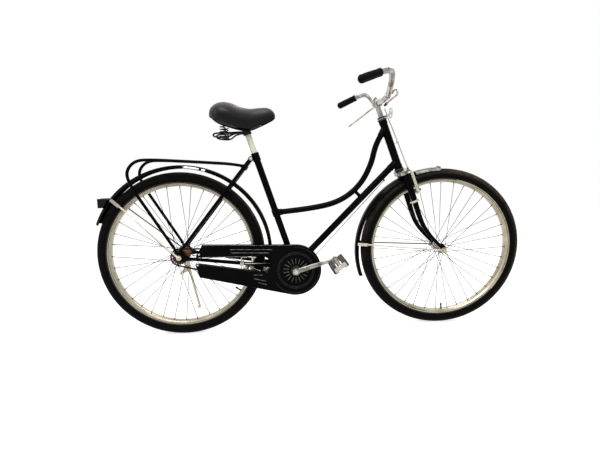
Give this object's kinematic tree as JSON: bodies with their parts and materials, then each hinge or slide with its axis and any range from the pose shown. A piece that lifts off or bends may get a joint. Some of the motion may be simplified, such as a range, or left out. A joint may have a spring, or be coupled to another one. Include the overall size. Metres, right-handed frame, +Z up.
{
  "type": "roadster bicycle",
  "caption": "Roadster bicycle with a low curved frame, rod brakes, full chain case, mudguards, rear carrier and kickstand; wheels, pedals, steering, brakes, stand and saddle move.",
  "frame": {"origin": "on the ground midway between the points where the two wheels stand, in the plane of the frame", "axes": "+X from the rear wheel to the front wheel, +Y to the rider's left, +Z up"},
  "size_m": [1.8559, 0.6152, 1.0859],
  "materials": {
    "black_enamel": "glossy black stove enamel",
    "chrome": "aged chrome plate",
    "zinc": "dull zinc plate",
    "aluminium": "dull aluminium",
    "rusted_steel": "brown rusted steel",
    "dark_steel": "blackened steel",
    "tyre_rubber": "worn tread and side walls",
    "hard_rubber": "ribbed hard rubber",
    "saddle_vinyl": "satin vinyl over padding",
    "lamp_plastic": "black plastic"
  },
  "bodies": {
    "frame": {"head_tube": "black_enamel", "down_tube": "black_enamel", "swan_tube": "black_enamel", "seat_tube": "black_enamel", "seat_bolt": "dark_steel", "bottom_bracket_shell": "black_enamel", "right_chainstay": "black_enamel", "left_chainstay": "black_enamel", "seat_stays": "black_enamel", "right_carrier_side": "black_enamel", "left_carrier_side": "black_enamel", "carrier_deck": "black_enamel", "tail_lamp": "lamp_plastic", "rear_mudguard": "black_enamel", "right_rear_mudguard_stay": "aluminium", "left_rear_mudguard_stay": "aluminium", "rear_axle": "zinc", "chain": "rusted_steel", "chaincase": "black_enamel", "kickstand_bracket": "aluminium"},
    "steering": {"fork_crown": "aluminium", "right_fork_blade": "black_enamel", "left_fork_blade": "black_enamel", "lower_headset_cup": "dark_steel", "upper_headset_cup": "dark_steel", "headset_locknut": "dark_steel", "lamp_bracket": "dark_steel", "handlebar": "chrome", "stem": "chrome", "right_grip": "hard_rubber", "left_grip": "hard_rubber", "front_axle": "zinc", "front_mudguard": "black_enamel", "right_front_mudguard_stay": "aluminium", "left_front_mudguard_stay": "aluminium"},
    "front_wheel": {"front_tyre": "tyre_rubber", "front_rim": "aluminium", "front_hub": "chrome"},
    "rear_wheel": {"rear_tyre": "tyre_rubber", "rear_rim": "aluminium", "rear_hub": "chrome"},
    "crankset": {"chainwheel_and_right_crank": "chrome", "left_crank": "chrome", "crank_spindle": "zinc"},
    "freewheel": {"rear_sprocket": "rusted_steel"},
    "right_pedal": {"right_pedal": "hard_rubber"},
    "left_pedal": {"left_pedal": "hard_rubber"},
    "stand": {"kickstand_leg": "aluminium"},
    "lever": {"brake_lever": "chrome"},
    "front_brake": {"front_brake_stirrup": "zinc"},
    "rear_upper_rod": {"rear_brake_upper_rod": "zinc"},
    "upper_crank": {"upper_bell_crank": "dark_steel"},
    "rear_lower_rod": {"rear_brake_lower_rod": "zinc"},
    "lower_crank": {"lower_bell_crank": "dark_steel"},
    "rear_brake": {"rear_brake_stirrup": "zinc"},
    "seat_pillar": {"seat_post": "chrome", "saddle_frame": "dark_steel", "right_saddle_spring": "dark_steel", "left_saddle_spring": "dark_steel"},
    "saddle": {"saddle_cover": "saddle_vinyl"}
  },
  "joints": [
    {"name": "steering", "type": "hinge", "parent": "frame", "child": "steering", "pos_m": [0.30213, 0, 0.92075], "axis": [-0.3502, 0, 0.9367], "range_deg": [-41, 49]},
    {"name": "front_wheel_spin", "type": "hinge", "parent": "steering", "child": "front_wheel", "pos_m": [0.57187, -0.00384, 0.35595], "axis": [0.0653, 0.9976, 0.0244], "continuous": true},
    {"name": "rear_wheel_spin", "type": "hinge", "parent": "frame", "child": "rear_wheel", "pos_m": [-0.572, 0, 0.356], "axis": [0, 1, 0], "continuous": true},
    {"name": "crank_spin", "type": "hinge", "parent": "frame", "child": "crankset", "pos_m": [-0.085, 0, 0.288], "axis": [0, 1, 0], "continuous": true},
    {"name": "sprocket_spin", "type": "hinge", "parent": "frame", "child": "freewheel", "pos_m": [-0.572, 0, 0.356], "axis": [0, 1, 0], "continuous": true},
    {"name": "right_pedal_spin", "type": "hinge", "parent": "crankset", "child": "right_pedal", "pos_m": [0.07948, -0.1035, 0.33829], "axis": [0, 1, 0], "continuous": true},
    {"name": "left_pedal_spin", "type": "hinge", "parent": "crankset", "child": "left_pedal", "pos_m": [-0.24948, 0.1035, 0.23771], "axis": [0, 1, 0], "continuous": true},
    {"name": "kickstand_fold", "type": "hinge", "parent": "frame", "child": "stand", "pos_m": [-0.572, 0.085, 0.279], "axis": [-0.2272, 0.9514, 0.2081], "range_deg": [0, 98]},
    {"name": "brake_lever_pull", "type": "hinge", "parent": "steering", "child": "lever", "pos_m": [0.3109, -0.00298, 1.01896], "axis": [0.0653, 0.9976, 0.0244], "range_deg": [0, 10], "stiffness_Nm_per_rad": 1.5, "springref_deg": -11.46},
    {"name": "front_brake_pull", "type": "slide", "parent": "steering", "child": "front_brake", "axis": [-0.3502, 0, 0.9367], "range_m": [0, 0.00404]},
    {"name": "rear_upper_rod_pull", "type": "slide", "parent": "steering", "child": "rear_upper_rod", "axis": [-0.3502, 0, 0.9367], "range_m": [0, 0.00536]},
    {"name": "upper_bell_crank_turn", "type": "hinge", "parent": "frame", "child": "upper_crank", "pos_m": [0.30459, 0.0267, 0.68044], "axis": [0, 1, 0], "range_deg": [-3.42, 0]},
    {"name": "rear_lower_rod_pull", "type": "slide", "parent": "frame", "child": "rear_lower_rod", "axis": [0.6865, 0.0206, 0.7269], "range_m": [0, 0.0016]},
    {"name": "lower_bell_crank_turn", "type": "hinge", "parent": "frame", "child": "lower_crank", "pos_m": [-0.04625, 0.0165, 0.32703], "axis": [0, 1, 0], "range_deg": [-2.34, 0]},
    {"name": "rear_brake_pull", "type": "slide", "parent": "frame", "child": "rear_brake", "axis": [0.9703, 0, -0.2419], "range_m": [0, 0.00404]},
    {"name": "seat_height", "type": "slide", "parent": "frame", "child": "seat_pillar", "axis": [-0.314, 0, 0.9494], "range_m": [-0.06, 0.055]},
    {"name": "saddle_flex", "type": "hinge", "parent": "seat_pillar", "child": "saddle", "pos_m": [-0.222, 0, 0.904], "axis": [0, -1, 0], "range_deg": [0, 4.2], "stiffness_Nm_per_rad": 1500, "deforming": ["right_saddle_spring", "left_saddle_spring"]}
  ],
  "couplings": [
    {"joint": "sprocket_spin", "follows": "crank_spin", "ratio": 2.4444},
    {"joint": "front_brake_pull", "follows": "brake_lever_pull", "m_per_rad": 0.022918},
    {"joint": "rear_upper_rod_pull", "follows": "brake_lever_pull", "m_per_rad": 0.030421},
    {"joint": "upper_bell_crank_turn", "follows": "brake_lever_pull", "ratio": -0.33857},
    {"joint": "rear_lower_rod_pull", "follows": "brake_lever_pull", "m_per_rad": 0.0090607},
    {"joint": "lower_bell_crank_turn", "follows": "brake_lever_pull", "ratio": -0.2313},
    {"joint": "rear_brake_pull", "follows": "brake_lever_pull", "m_per_rad": 0.022918}
  ]
}
